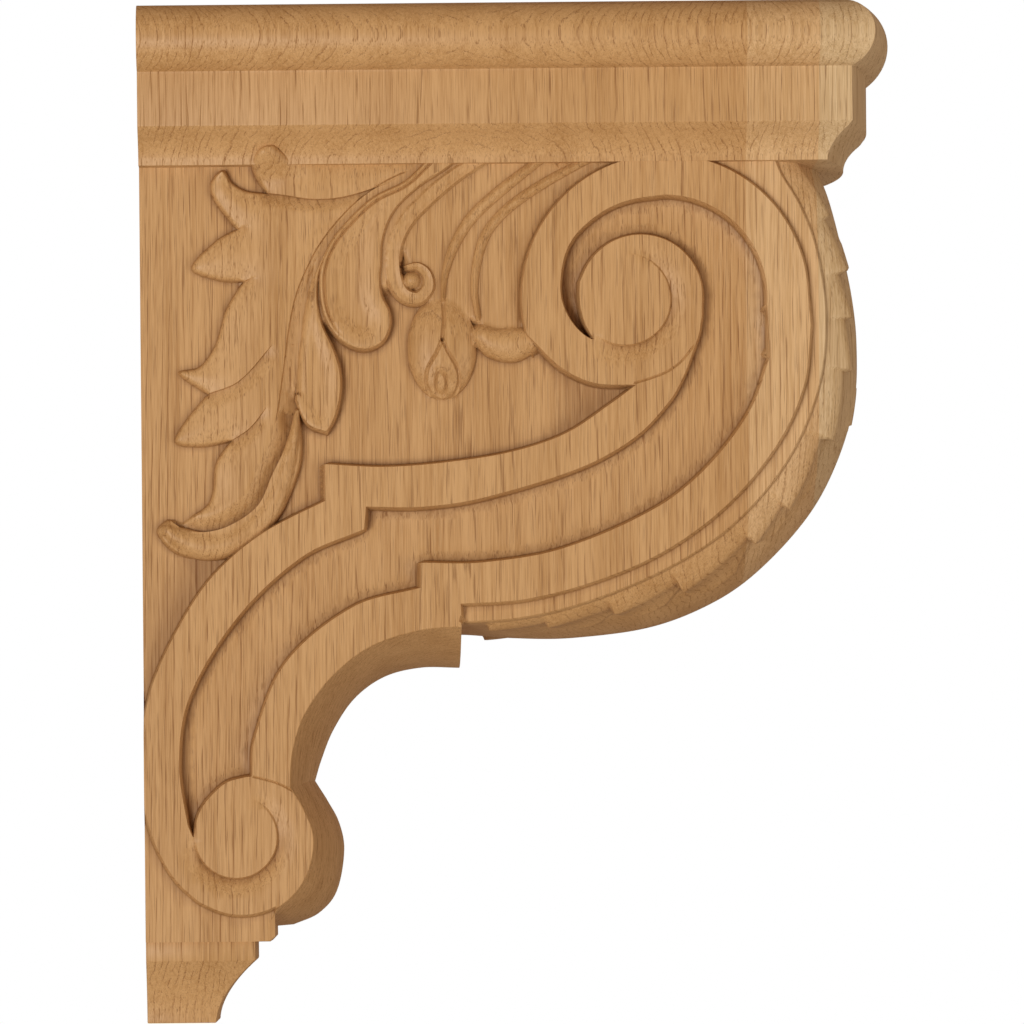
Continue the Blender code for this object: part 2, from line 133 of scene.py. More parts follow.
def near(spots, line):
    """Distance of each spot to a line, how far along it that is, and the side, +1 on its right."""
    gap = np.full(len(spots), 1e12)
    along = np.zeros(len(spots))
    side = np.ones(len(spots))
    for i, edge in enumerate(np.diff(line, axis=0)):
        offset = spots - line[i]
        share = np.clip(offset @ edge / (edge @ edge + 1e-12), 0, 1)
        square = ((offset - share[:, None] * edge) ** 2).sum(axis=1)
        closer = square < gap
        gap[closer] = square[closer]
        along[closer] = i + share[closer]
        side[closer] = np.where(edge[0] * offset[closer, 1] > edge[1] * offset[closer, 0], 1, -1)
    return np.sqrt(gap), along, side


def within(spots, outline):
    """Whether each spot lies inside a closed outline."""
    across, down = spots.T
    odd = np.zeros(len(spots), bool)
    for (a0, d0), (a1, d1) in zip(outline, np.roll(outline, -1, axis=0)):
        if d0 != d1:
            crossing = a0 + (down - d0) * (a1 - a0) / (d1 - d0)
            odd ^= ((d0 > down) != (d1 > down)) & (across < crossing)
    return odd


def depth_in(spots, outline):
    """How far each spot is inside a closed outline, negative outside it."""
    gap = near(spots, np.vstack((outline, outline[:1])))[0]
    return np.where(within(spots, outline), gap, -gap)


def ease(share):
    """0 up to a share of 0, 1 from a share of 1, and rounded between them."""
    share = np.clip(share, 0, 1)
    return share * share * (3 - 2 * share)


front_line = np.vstack(
    [smooth(SCROLL_FRONT, 0.8), smooth(ARCH_FRONT, 1.6), smooth(RING_FRONT, 1.2), BLOCK_FRONT]
)
front_line = front_line[front_line[:, 1] > BEHIND_CAP]
side_front = front_line[:, :2]

VOLUTE = (182.8, 47.7)
VOLUTE_RADIUS = 50.0
CHANNEL_RADIUS = 36.0
INNER_TURN = (174.4, 47.2)
INNER_TURN_RADIUS = 21.5
EYE = (168.9, 48.3)
EYE_RADIUS = 15.8
HOLLOW_TIP = (159.0, 63.2)
LOWER_RING = (33.0, 238.0)
LOWER_RING_RADIUS = 24.5
LOWER_EYE = (31.0, 235.4)
LOWER_EYE_RADIUS = 14.2
band_outer = smooth(
    [(233.8, 58.0), (231.3, 78.4), (222.5, 98.1), (205.4, 119.0), (184.0, 135.2),
     (160.4, 145.8), (134.0, 152.7), (110.3, 154.3)]
)
band_outer = np.vstack((arc(VOLUTE, VOLUTE_RADIUS, 84, 0)[:-1], band_outer))
heel = smooth([(134.8, 60.5), (146.5, 72.0), (158.0, 77.4), (172.6, 78.2)])
band_upper = smooth(
    [(172.6, 78.2), (163.4, 84.9), (147.8, 95.0), (128.7, 101.3), (105.7, 104.8),
     (84.0, 106.2), (63.4, 105.1)]
)
back_scroll = smooth(
    [(63.3, 117.9), (44.4, 127.2), (32.1, 135.9), (20.5, 147.8), (9.7, 165.3), (2.5, 181.1),
     (-1.5, 196.0), (-5.0, 208.0)]
)
channel_upper = smooth(
    [(77.5, 120.0), (97.4, 120.2), (117.9, 117.4), (153.0, 106.9), (172.0, 96.4),
     (184.2, 83.8), (188.9, 75.7), (192.5, 66.6), (194.6, 60.4), (195.6, 54.5)]
)
channel_lower = smooth(
    [(96.6, 139.9), (117.7, 140.0), (146.0, 135.4), (178.7, 121.6), (196.8, 107.6),
     (212.4, 87.5), (219.6, 68.4)]
)
channel_turn = smooth(
    [HOLLOW_TIP, (154.1, 60.4), (149.5, 55.1), (146.7, 48.4), (146.3, 41.2), (148.1, 32.0),
     (152.3, 24.8), (161.6, 17.2), (171.0, 13.4), (182.8, 11.7)]
)
eye_tip = smooth(
    [(153.2, 42.0), (153.0, 47.0), (153.7, 52.6), (155.2, 57.3), (157.2, 60.9), HOLLOW_TIP]
)
lower_turn = smooth(
    [(36.6, 214.2), (34.7, 214.4), (27.8, 216.3), (21.9, 221.4), (19.0, 225.3), (17.4, 229.1),
     (16.6, 233.2)]
)
lower_line = smooth([(37.4, 214.3), (41.5, 215.3), (46.4, 216.9), (51.4, 219.6)])
turn_line = smooth([(172.0, 77.6), (178.1, 75.8), (183.8, 73.5), (188.5, 70.0), (192.4, 65.2)])
drop_upper = smooth(
    [(76.7, 127.9), (55.2, 137.2), (32.0, 158.5), (14.9, 186.5), (11.2, 208.8), (13.9, 230.2),
     (16.1, 236.0)]
)
drop_lower = smooth([(36.9, 213.6), (37.8, 201.3), (48.9, 174.6), (72.8, 155.1), (96.4, 148.6)])
ring_back = smooth(
    [(-2.0, 221.5), (0.5, 231.2), (4.0, 240.4), (9.6, 250.0), (17.6, 257.6), (21.3, 259.5)]
)

ground_edge = np.vstack(
    (
        arc(VOLUTE, VOLUTE_RADIUS, 104, 195)[:-1],
        heel[:-1],
        band_upper,
        back_scroll,
        [(-20, 200), (-20, -30), (168, -30)],
    )
)
channel_edge = np.vstack(
    (
        channel_upper,
        arc(INNER_TURN, INNER_TURN_RADIUS, -10, 158)[1:],
        eye_tip[:-1],
        channel_turn[:-1],
        arc(VOLUTE, CHANNEL_RADIUS, 90, -6)[:-1],
        channel_lower[::-1],
        drop_lower[::-1],
        lower_turn,
        drop_upper[::-1],
    )
)
strip_wall = np.vstack((band_outer, [(110.5, 158.4), (111.0, 168.0)]))
strip_edge = np.vstack((strip_wall, [(124, 190), (200, 190), (290, 100), (290, -30), (188, -30)]))
block_edge = np.vstack(
    (
        ring_back,
        arc(LOWER_RING, LOWER_RING_RADIUS, -116, -62)[1:],
        [(52, 266), (60, 280), (-20, 280), (-20, 222)],
    )
)
HOLLOW_DEPTH = 2.6
HOLLOW_REACH = 32.0
CHANNEL_BELLY = 0.7
EYE_WALL = 0.7
UPPER_CREASE = [
    (200, 26.0), (214, 24.7), (245, 23.3), (267, 22.5),
    (304, 22.0), (324, 21.5), (360, 21.0), (450, 20.0),
]
UPPER_FADE = (228, 262, 330, 450)
UPPER_DISH = 2.1
LOWER_CREASE = [(180, 15.5), (200, 19.0), (230, 20.5), (270, 20.5), (330, 20.0), (425, 18.5)]
LOWER_FADE = (180, 215, 330, 428)
LOWER_DISH = 2.8
GROOVE_DEPTH = 0.6
GROOVE_HALF = 0.5


def eye_slope(spots, centre, radius, crease, full, depth):
    """The dished slope of a scroll's last turn down to its eye, by angle round the eye's centre."""
    offset = spots - np.array(centre)
    reach = np.hypot(*offset.T)
    turn = np.degrees(np.arctan2(-offset[:, 1], offset[:, 0])) % 360
    turn = np.where(turn < full[0] - 20, turn + 360, turn)
    outer = np.interp(turn, *zip(*crease))
    fade = np.interp(turn, full, (0, 1, 1, 0))
    slope = np.clip((outer - reach) / (outer - radius), 0, 1)
    wall = ease((reach - radius) / EYE_WALL)
    return -depth * fade * slope * wall


def sunk_height(spots):
    """Height of the scroll work at each spot, from 0 on the flat face."""
    height = np.zeros(len(spots))
    inside = depth_in(spots, strip_edge)
    from_band = near(spots, strip_wall)[0]
    from_front = near(spots, side_front)[0]
    strip = STRIP * ease(from_band / WALL) + STRIP_STEP * ease(1 - from_front / 1.0)
    height = np.where(inside > 0, strip, height)
    height = np.minimum(height, GROUND * ease(depth_in(spots, ground_edge) / WALL))
    inside = depth_in(spots, channel_edge)
    to_tip = np.hypot(*(spots - np.array(HOLLOW_TIP)).T)
    floor = CHANNEL - CHANNEL_BELLY * ease(inside / 5.0)
    floor = floor - HOLLOW_DEPTH * ease(1 - to_tip / HOLLOW_REACH)
    height = np.minimum(height, floor * ease(inside / WALL))
    height = np.minimum(height, BLOCK * ease(depth_in(spots, block_edge) / WALL))
    upper = eye_slope(spots, EYE, EYE_RADIUS, UPPER_CREASE, UPPER_FADE, UPPER_DISH)
    lower = eye_slope(spots, LOWER_EYE, LOWER_EYE_RADIUS, LOWER_CREASE, LOWER_FADE, LOWER_DISH)
    gap = np.minimum(near(spots, turn_line)[0], near(spots, lower_line)[0])
    turn = -GROOVE_DEPTH * np.clip(1 - gap / GROOVE_HALF, 0, 1)
    return np.minimum(height, 0) + np.where(height > -1.0, upper + lower + turn, 0)


def straight_across(start, end, down, steps):
    """Points straight across at one height, without the first."""
    across = np.linspace(start, end, steps + 1)[1:]
    return np.column_stack((across, np.full(steps, down)))


rolled_tip = smooth(
    [(37.6, BEHIND_CAP), (39.8, -6.2), (43.2, -8.2), (46.9, -8.2), (50.6, -5.8), (55.0, BEHIND_CAP)]
)
domain = np.vstack(
    (
        side_front,
        straight_across(side_front[-1, 0], WALL_LINE, FOOT_LINE, 7),
        np.column_stack((np.full(34, WALL_LINE), np.linspace(FOOT_LINE, BEHIND_CAP, 35)[1:])),
        straight_across(WALL_LINE, rolled_tip[0, 0], BEHIND_CAP, 7)[:-1],
        rolled_tip,
        straight_across(rolled_tip[-1, 0], side_front[0, 0], BEHIND_CAP, 41)[:-1],
    )
)


# The leaf work of the side. The real leaves, stems, curls and the seed pod stand on the sunk
# ground and are cut from the same oak: rounded sheets that lap over one another, ridges
# with gouged flutes between them, and a domed pod.
LEAF_LOBES = [
    [(53.0, -2.0), (49.7, -4.9), (46.1, -7.5), (40.9, -5.9), (38.4, -1.0), (40.1, 4.4),
     (43.5, 9.5)],
    [(43.5, 9.5), (36.5, 8.6), (31.5, 5.7), (28.3, 1.3), (24.2, 5.6), (25.0, 11.4), (32.9, 22.0)],
    [(32.9, 22.0), (25.5, 26.3), (17.2, 35.7), (26.2, 39.8), (34.9, 40.6)],
    [(34.9, 40.6), (29.1, 50.3), (25.3, 62.4), (19.5, 70.3), (12.2, 72.2), (22.3, 79.9)],
    [(22.3, 79.9), (13.9, 90.0), (10.9, 96.7), (19.9, 98.2), (30.1, 96.5)],
    [(30.1, 96.5), (25.2, 103.9), (22.6, 117.7), (13.3, 124.5)],
    [(13.3, 124.5), (8.0, 123.8), (4.2, 128.1), (11.8, 136.0), (28.8, 137.3), (44.1, 127.2),
     (54.3, 106.6), (55.5, 89.0)],
]
leaf_edge = np.vstack(
    [smooth(lobe)[:-1] for lobe in LEAF_LOBES]
    + [smooth([(55.5, 89.0), (54.1, 68.4), (57.8, 47.2), (69.7, 22.1), (91.1, 6.0), (102.5, -2.5)])]
)
drop_edge = np.vstack(
    (
        smooth(
            [(84.0, 9.5), (72.5, 19.0), (64.5, 28.0), (59.5, 37.5), (56.5, 48.0), (54.6, 60.0),
             (53.3, 72.0), (52.8, 82.5)]
        )[:-1],
        smooth([(52.8, 82.5), (54.9, 88.4), (58.0, 92.2), (64.3, 94.5)])[:-1],
        smooth(
            [(64.3, 94.5), (67.5, 88.6), (69.5, 79.7), (69.2, 71.2), (66.8, 63.7),
             (63.3, 55.9), (61.6, 46.0), (63.0, 36.0), (70.0, 24.0), (80.0, 14.0)]
        ),
    )
)
curl_edge = smooth(
    [(101, -3), (92, 5.5), (81, 11), (72, 19), (65.5, 27), (61.8, 36.4), (61.5, 45), (62.6, 52),
     (65.4, 58.1), (70.3, 63.1), (77.5, 65.5), (84.0, 62.9), (87.0, 56.9), (86.7, 51.2),
     (84.3, 45.9), (83.6, 40), (84.0, 36.0), (84.8, 26.1), (88.7, 16.9), (97.3, 8.5),
     (106.5, 2.6), (113.7, -3)]
)
fan_edge = np.vstack(
    (
        smooth(
            [(124, -3), (106.5, 8), (95.8, 17), (90.5, 26.1), (92, 35), (96, 46), (104, 51),
             (112, 54), (117.7, 57), (123, 60), (129, 61), (134, 60), (138.5, 57)]
        ),
        arc(VOLUTE, VOLUTE_RADIUS, 188, 98),
    )
)
rib = smooth(
    [(99.6, 0.8), (89.3, 4.2), (78.5, 10.5), (70.5, 17.8), (62.6, 27.6), (57.9, 36.2),
     (54.3, 44.7), (52.1, 53.5), (50.6, 62.7), (49.1, 73.7), (46.9, 87.9), (45.6, 94.0)]
)
LAPS = [
    ([(43.5, 9.5), (49.6, 10.4), (60.4, 12.0), (71.2, 11.1), (84.4, 7.0), (92.9, 2.8)], 1.8, 5.0),
    ([(32.9, 22.0), (38.0, 20.5)], 0.8, 3.0),
    ([(34.9, 40.6), (40.5, 38.3)], 0.8, 3.0),
    ([(22.3, 79.9), (33.2, 75.6), (45.3, 62.7)], 1.3, 6.0),
    ([(30.1, 96.5), (37.0, 92.0), (43.0, 84.6)], 1.3, 5.0),
    (
        [(52.4, 87.0), (50.6, 96.1), (44.9, 108.2), (39.6, 119.2), (29.7, 126.1),
         (20.9, 128.3), (13.4, 127.1), (7.5, 123.0)],
        3.4,
        6.5,
    ),
]
RIDGES = {
    "curled_stem": (
        [(7.6, 127.6, 2.6), (12.4, 130.6, 4.4), (21.4, 133.2, 5.1), (32, 131, 5.1),
         (43, 121.8, 4.4), (48.5, 110, 4.0), (52.3, 96.5, 2.4), (53.8, 86.0, 1.0)],
        5.9,
    ),
    "small_scroll_stem": (
        [(120, -2, 2.6), (110, 4.0, 3.1), (99.8, 12.3, 3.4), (92.2, 20.4, 3.4), (88.4, 29, 3.4),
         (88.1, 38.5, 3.4), (91.0, 45.2, 3.2), (96.3, 47.0, 3.0), (100.1, 43.2, 2.7),
         (99.4, 38.4, 2.3), (96.4, 35.9, 1.9), (92.8, 36.2, 1.4)],
        5.3,
    ),
    "middle_flute": (
        [(142, -3, 1.8), (124.3, 10.6, 2.4), (114.3, 20.3, 2.4), (108.4, 30.8, 2.0),
         (105.7, 40, 1.4), (105.2, 47, 0.9)],
        4.6,
    ),
    "broad_flute": (
        [(160, -3, 1.6), (142.4, 6.2, 2.0), (128.6, 15.4, 2.1), (120.8, 24.2, 2.1),
         (117.2, 34.5, 1.9), (116.2, 45, 1.6), (117.5, 54, 1.2)],
        4.6,
    ),
    "right_curl": (
        [(119, 60.5, 4.4), (123.5, 62.8, 5.8), (129.5, 63.4, 6.4), (134.4, 62.2, 5.4)],
        5.6,
    ),
}
ridge_lines = {name: (smooth(spine, 1.1), height) for name, (spine, height) in RIDGES.items()}
lap_lines = [(smooth(line), drop, reach) for line, drop, reach in LAPS]
SMALL_EYE = (94.3, 40.6)
SMALL_EYE_RADIUS = 3.4
SMALL_EYE_RISE = 5.4
POD = (104.7, 64.3)
POD_SIZE = (12.3, 18.4)
SEED = (104.2, 76.8)
SEED_SIZE = (1.9, 4.2)
LEAF_EDGE = 3.1
LEAF_SWELL = 1.9
RIB_STEP = 2.3
RIB_GROOVE = 0.9
RIB_FILL = 2.8
TIP_ROLL = 8.2
DROP_RISE = 5.6
CURL_RISE = 6.0
CURL_SKIRT = 3.6
FAN_RISE = 2.6
POD_RISE = 6.0
SEAM_DEPTH = 0.9
pod_seams = [smooth([(105.2, 47.5), (105.4, 55.0), (104.7, 61.6)], 0.8)]
for way in (-1, 1):
    seam = [(0.0, 61.6), (2.1, 66.2), (5.3, 72.0), (5.7, 77.0), (3.8, 81.0), (0.2, 82.9)]
    pod_seams.append(smooth([(104.8 + way * across, down) for across, down in seam], 0.8))


def rounded(share):
    """The quarter-round edge of a sheet: 0 at its edge, 1 from a share of 1."""
    return np.sqrt(np.clip(1 - (1 - np.clip(share, 0, 1)) ** 2, 0, 1))


def leaf_height(spots):
    """Height of the leaf work over the sunk ground at each spot, 0 where there is none."""
    inside = depth_in(spots, leaf_edge)
    leaf = LEAF_EDGE * rounded(inside / 0.9)
    leaf += LEAF_SWELL * (1 - np.exp(-np.clip(inside, 0, None) / 4.5))
    gap, along, side = near(spots, rib)
    strength = ease((len(rib) - 1 - along) / 7.0)
    groove = RIB_GROOVE * np.clip(1 - gap / 0.6, 0, 1)
    leaf -= np.where(side < 0, RIB_STEP * ease(gap / 4.0), groove) * strength * (inside > 0)
    slope = RIB_FILL * (side < 0) * ease((6.0 - gap) / 1.5) * ease((92.0 - spots[:, 1]) / 16.0)
    for line, drop, reach in lap_lines:
        gap, along, side = near(spots, line)
        strength = np.clip((len(line) - 1 - along) / 4.0, 0, 1) * np.where(along > 0, 1, 0)
        leaf -= np.where(side > 0, drop * strength * (1 - ease(gap / reach)), 0) * (inside > 0)
    roll = ease((6.0 - spots[:, 1]) / 13.0) * ease((66.0 - spots[:, 0]) / 22.0)
    leaf += np.where(inside > 0, TIP_ROLL * roll * rounded(inside / 2.6), 0)
    height = np.maximum(np.where(inside > 0, np.maximum(leaf, 0), 0), slope)

    inside = depth_in(spots, drop_edge)
    gap, along, side = near(spots, drop_edge)
    edge = np.where(along < 0.42 * len(drop_edge), 4.5, 1.2)
    drop = (DROP_RISE - 0.9 * ease((inside - 1.5) / 5.0)) * rounded(inside / edge)
    height = np.maximum(height, drop)
    inside = depth_in(spots, curl_edge)
    apart = np.where(spots[:, 0] > 75, 46.0, 58.0)
    skirt = CURL_SKIRT * ease((inside + 2.6) / 0.8) * ease((apart - spots[:, 1]) / 4.0)
    height = np.maximum(height, skirt)
    gap, along, side = near(spots, curl_edge)
    rim = np.clip(1 - abs(inside - 2.2) / 0.7, 0, 1)
    rim = rim * ease((0.47 * len(curl_edge) - along) / 12.0)
    curl = (CURL_RISE - 1.3 * ease((inside - 3.0) / 6.0)) * rounded(inside / 1.3)
    height = np.maximum(height, curl - rim)
    inside = depth_in(spots, fan_edge)
    height = np.maximum(height, FAN_RISE * rounded(inside / 2.0))
    for name, (line, top) in ridge_lines.items():
        gap, along, side = near(spots, line[:, :2])
        half = np.interp(along, np.arange(len(line)), line[:, 2])
        share = gap / half
        flute = 1.3 * np.clip(1 - (share / 0.55) ** 2, 0, 1) * (name == "small_scroll_stem")
        height = np.maximum(height, (top - flute) * np.clip(1 - share**2, 0, 1) ** 0.42)
    reach = np.hypot(*(spots - np.array(SMALL_EYE)).T) / SMALL_EYE_RADIUS
    height = np.maximum(height, SMALL_EYE_RISE * np.clip(1 - reach**2, 0, 1) ** 0.5)
    reach = np.hypot(*((spots - np.array(POD)) / np.array(POD_SIZE)).T)
    pod = POD_RISE * np.clip(1 - reach**2, 0, 1) ** 0.5
    for seam in pod_seams:
        pod -= SEAM_DEPTH * (reach < 1) * np.clip(1 - (near(spots, seam)[0] / 0.8) ** 2, 0, 1)
    reach = np.hypot(*((spots - np.array(SEED)) / np.array(SEED_SIZE)).T)
    return np.maximum(height, pod - SEAM_DEPTH * np.clip(1 - abs(reach - 1) / 0.4, 0, 1))


def side_height(spots):
    """Height of the carved side at each spot of the pattern, with its front arris eased."""
    sunk = sunk_height(spots)
    height = np.maximum(sunk, GROUND + leaf_height(spots))
    height = np.where(depth_in(spots, ground_edge) > -0.8, height, sunk)
    edge = np.clip(1 - near(spots, side_front)[0] / ARRIS, 0, 1)
    return height - ARRIS * (1 - np.sqrt(1 - edge**2))


def beside(line, offset, closed):
    """A line run beside another one, and which of its points stay clear of the other."""
    if closed:
        ahead = np.roll(line, -1, axis=0) - np.roll(line, 1, axis=0)
    else:
        ahead = np.gradient(line, axis=0)
    ahead /= np.linalg.norm(ahead, axis=1)[:, None] + 1e-12
    moved = line + offset * np.column_stack((-ahead[:, 1], ahead[:, 0]))
    whole = np.vstack((line, line[:1])) if closed else line
    return moved, near(moved, whole)[0] > abs(offset) - 0.04


spots = [domain]
links = [(i, (i + 1) % len(domain)) for i in range(len(domain))]


def draw(line, offsets, closed=False):
    """Add mesh points and links along a line and beside it; offsets run inwards on closed lines."""
    if closed:
        after = np.roll(line, -1, axis=0)
        area = (line[:, 0] * after[:, 1] - after[:, 0] * line[:, 1]).sum()
        offsets = np.array(offsets) * np.sign(area)
    for offset in offsets:
        moved, kept = beside(line, offset, closed)
        kept &= depth_in(moved, domain) > 0.15
        index = np.where(kept, np.cumsum(kept) - 1 + sum(map(len, spots)), -1)
        pairs = list(zip(index[:-1], index[1:])) + ([(index[-1], index[0])] if closed else [])
        links.extend((int(a), int(b)) for a, b in pairs if a >= 0 and b >= 0)
        spots.append(moved[kept])


wall_lines = [-0.3, 0.02, 0.3 * WALL, 0.55 * WALL, 0.8 * WALL, WALL, WALL + 0.5]
for edge in (ground_edge, channel_edge, block_edge):
    draw(edge, wall_lines, True)
draw(strip_wall, [0.3, -0.02, -0.35, -0.7, -1.0, -WALL, -1.8, -3.2])
for offset in (0.15, 0.4, 0.7, 1.0, 1.5):
    draw(side_front, [offset])
for edge in (leaf_edge, drop_edge, curl_edge):
    draw(edge, [-0.35, 0.02, 0.15, 0.4, 0.9, 1.5], True)
draw(curl_edge[: len(curl_edge) // 2], [-1.85, -2.2, -2.55, -2.9])
for seam in pod_seams:
    draw(seam, [-0.8, -0.4, 0.0, 0.4, 0.8])
for line in (turn_line, lower_line):
    draw(line, [-0.5, 0.0, 0.5])
draw(rib, [-0.03, 0.25, 0.6, -1.2, -2.4, -3.6, -4.8])
for line, drop, reach in lap_lines:
    draw(line, [-0.03, 0.25])
for line, _ in ridge_lines.values():
    ahead = np.gradient(line[:, :2], axis=0)
    ahead /= np.linalg.norm(ahead, axis=1)[:, None]
    aside = np.column_stack((-ahead[:, 1], ahead[:, 0]))
    for share in (1.0, 0.9, 0.6, 0.0, -0.6, -0.9, -1.0):
        draw(line[:, :2] + share * line[:, 2:] * aside, [0.0])
turn = np.radians(np.arange(0, 360, 9))
circle = np.column_stack((np.cos(turn), np.sin(turn)))
for centre, size, shares in (
    (POD, POD_SIZE, (1.0, 0.96, 0.85, 0.65)),
    (SEED, SEED_SIZE, (0.6, 1.0, 1.4)),
    (SMALL_EYE, (SMALL_EYE_RADIUS, SMALL_EYE_RADIUS), (1.0, 0.85, 0.5)),
):
    for share in shares:
        draw(np.array(centre) + share * np.array(size) * circle, [0.0], True)
for centre, radius in ((EYE, EYE_RADIUS), (LOWER_EYE, LOWER_EYE_RADIUS)):
    for wider in (0.0, EYE_WALL / 2, EYE_WALL, 3.0, 6.0):
        draw(arc(centre, radius + wider, 180, 450), [0.0])

placed = np.vstack(spots)
FINE_PITCH = (1.25, 2.16)
COARSE_PITCH = (3.0, 5.2)


def staggered(start, end, pitch, shift):
    """Grid points of a box, with every other row shifted across."""
    grids = []
    for odd in (0, 1):
        across = np.arange(start[0], end[0], pitch[0]) + shift * odd
        down = np.arange(start[1] + pitch[1] / 2 * odd, end[1], pitch[1])
        grids.append(np.column_stack([grid.ravel() for grid in np.meshgrid(across, down)]))
    return np.vstack(grids)


fine = staggered((0.0, -8.6), (142, 138), FINE_PITCH, 0.4)
coarse = staggered((0.5, 0.0), (240, FOOT_LINE), COARSE_PITCH, 1.5)
fine = fine[(depth_in(fine, ground_edge) > 0.2) & (depth_in(fine, domain) > 0.4)]
coarse = coarse[(depth_in(coarse, ground_edge) < -0.5) & (depth_in(coarse, domain) > 1.0)]


def clear_of(grid, others, gap):
    """The grid points that keep a gap from other points."""
    cells = {}
    for x, y in others:
        cells.setdefault((int(x // gap), int(y // gap)), []).append((x, y))
    kept = []
    for x, y in grid:
        column, row = int(x // gap), int(y // gap)
        around = [(column + c, row + r) for c in (-1, 0, 1) for r in (-1, 0, 1)]
        rivals = [p for cell in around for p in cells.get(cell, ())]
        if all((p[0] - x) ** 2 + (p[1] - y) ** 2 > gap * gap for p in rivals):
            kept.append((x, y))
    return np.array(kept)


spots += [clear_of(fine, placed, 0.55), clear_of(coarse, placed, 1.2)]
placed = np.vstack(spots)
flat, _, faces, *_ = delaunay_2d_cdt(
    [Vector(p) for p in placed], links, [list(range(len(domain)))], 1, 1e-4
)
flat = np.array([tuple(p) for p in flat])
triangles = np.array([tuple(face) for face in faces])
side_lift = side_height(flat)
surface = BVHTree.FromPolygons(np.column_stack((flat, side_lift)).tolist(), triangles.tolist())
# Painted shade: how far the carving rises round each point, within 0.8 mm and 2.4 mm, which later
# darkens the oak's colour in corners and recesses.
crevice_shade = np.zeros(len(flat))
for reach, share in ((0.8, 0.35), (2.4, 0.75)):
    rise = np.zeros(len(flat))
    for angle in np.radians(np.arange(0, 360, 45)):
        step = (reach * math.cos(angle), reach * math.sin(angle))
        for i, (across, down) in enumerate(flat):
            spot = surface.ray_cast((across + step[0], down + step[1], 20.0), (0.0, 0.0, -1.0))[0]
            rise[i] += (spot.z - side_lift[i]) / 8 if spot else 0.0
    crevice_shade += share * np.clip(rise / reach - 0.08, 0, 1)
crevice_shade = np.clip(crevice_shade, 0, 1)

# The bowed front. Across its width the real front swells by up to 18 mm to a smooth middle
# band, and a leaf of eleven lapping lobes is carved on each side of that band, down the
# scroll to a tip where the arch begins.
COLUMNS = np.array(
    [0.0, 0.25, 0.8, 1.6, 2.6, 3.8, 5.0, 6.3, 7.6, 9.0, 10.4, 11.8, 13.2, 14.6, 16.0, 17.3,
     18.6, 19.9, 21.2, 22.5, 24.0, 26.0, 29.0, 33.0, 38.0, 44.0]
)
FRONT_LOBES = [
    (-14, 33.0, 17.0, 1.5, 5.6),
    (22, 51.5, 24.0, 1.5, 6.8),
    (42, 67.0, 21.0, 5.0, 6.4),
    (56, 84.0, 22.0, 8.0, 7.0),
    (70, 107.0, 31.0, 14.0, 7.2),
    (98, 133.0, 17.5, 7.0, 6.4),
    (122, 148.5, 17.5, 8.0, 6.2),
    (140, 177.0, 22.0, 12.0, 5.8),
    (168, 201.0, 19.0, 10.0, 4.4),
    (192, 224.0, 20.0, 12.0, 3.0),
    (214, 244.0, 17.0, 9.0, 2.2),
]
SHOULDER = 6.0
LEAF_START = 6.0
LEAF_END = 250
FRONT_ARRIS = 0.35


def lobe_height(along, across):
    """How far the front's leaf stands out, by the way along the scroll and across from its edge."""
    height = np.zeros(len(along))
    for start, end, width, rounding, rise in FRONT_LOBES:
        edge = np.clip(across / width, 0, 1)
        last = end - rounding * (1 - np.sqrt(1 - edge**2.5))
        share = np.clip((along - start) / (last - start), 0, 1)
        reach = width * (0.42 + 0.58 * ease(share / 0.75))
        lip = 1 - ease((along - last) / 1.0)
        side = 1 - ease((across - reach) / 1.6)
        shoulder = np.sin(np.pi / 2 * np.clip(across / SHOULDER, 0, 1) ** 0.9)
        past = np.clip((across - SHOULDER) / (reach - SHOULDER + 1e-9), 0, 1)
        scoop = 1 - 0.62 * past - 0.18 * np.sin(np.pi * past)
        raised = rise * (0.30 + 0.70 * share**1.3) * (share > 0)
        height = np.maximum(height, raised * shoulder * scoop * lip * side)
    return height


directed = dict.fromkeys(
    (int(a), int(b)) for triangle in triangles for a, b in zip(triangle, np.roll(triangle, -1))
)
rim = {a: b for a, b in directed if (b, a) not in directed}
loop = [next(iter(rim))]
while rim[loop[-1]] != loop[0]:
    loop.append(rim[loop[-1]])
loop = np.array(loop)

rim_spots = flat[loop]
gap, along, side = near(rim_spots, side_front)
on_front = gap < 0.01
low = np.clip(along.astype(int), 0, len(front_line) - 2)
share = (along - low)[:, None]
facing = front_line[low] * (1 - share) + front_line[low + 1] * share
crown = np.where(on_front[:, None], facing[:, 2:] - facing[:, :2], 0)
ahead = np.gradient(side_front, axis=0)
outward = np.column_stack((ahead[:, 1], -ahead[:, 0]))
outward /= np.linalg.norm(outward, axis=1)[:, None]
outward = outward[low]
walked = np.concatenate(([0], np.cumsum(np.linalg.norm(np.diff(side_front, axis=0), axis=1))))
walked = np.interp(along, np.arange(len(walked)), walked) + LEAF_START

points = [np.column_stack((flat[:, 0], -(FACE + side_lift), flat[:, 1]))]
crevice_shade_by_point = [crevice_shade]
rows = [loop]
half_width = FACE + side_lift[loop]
scale = half_width / half_width.max()
for column in np.append(COLUMNS[1:], 0):
    from_middle = half_width - column * scale if column else np.zeros(len(loop))
    bow = 1 - (from_middle / half_width) ** 2
    spot = rim_spots + crown * bow[:, None]
    lift = np.zeros(len(loop))
    if column:
        lift = lobe_height(walked, np.full(len(loop), column))
    lift = np.minimum(lift, np.hypot(*crown.T) * (1 - bow) + 0.3) * on_front * (walked < LEAF_END)
    edge = np.clip(1 - column / ARRIS, 0, 1)
    arris = FRONT_ARRIS * (1 - np.sqrt(1 - edge**2)) if column else 0
    spot = spot + outward * (lift - arris)[:, None] * on_front[:, None]
    rows.append(np.arange(len(loop)) + sum(map(len, points)))
    points.append(np.column_stack((spot[:, 0], -from_middle, spot[:, 1])))
    crevice_shade_by_point.append(np.zeros(len(loop)))
half = np.vstack(points)
quads = []
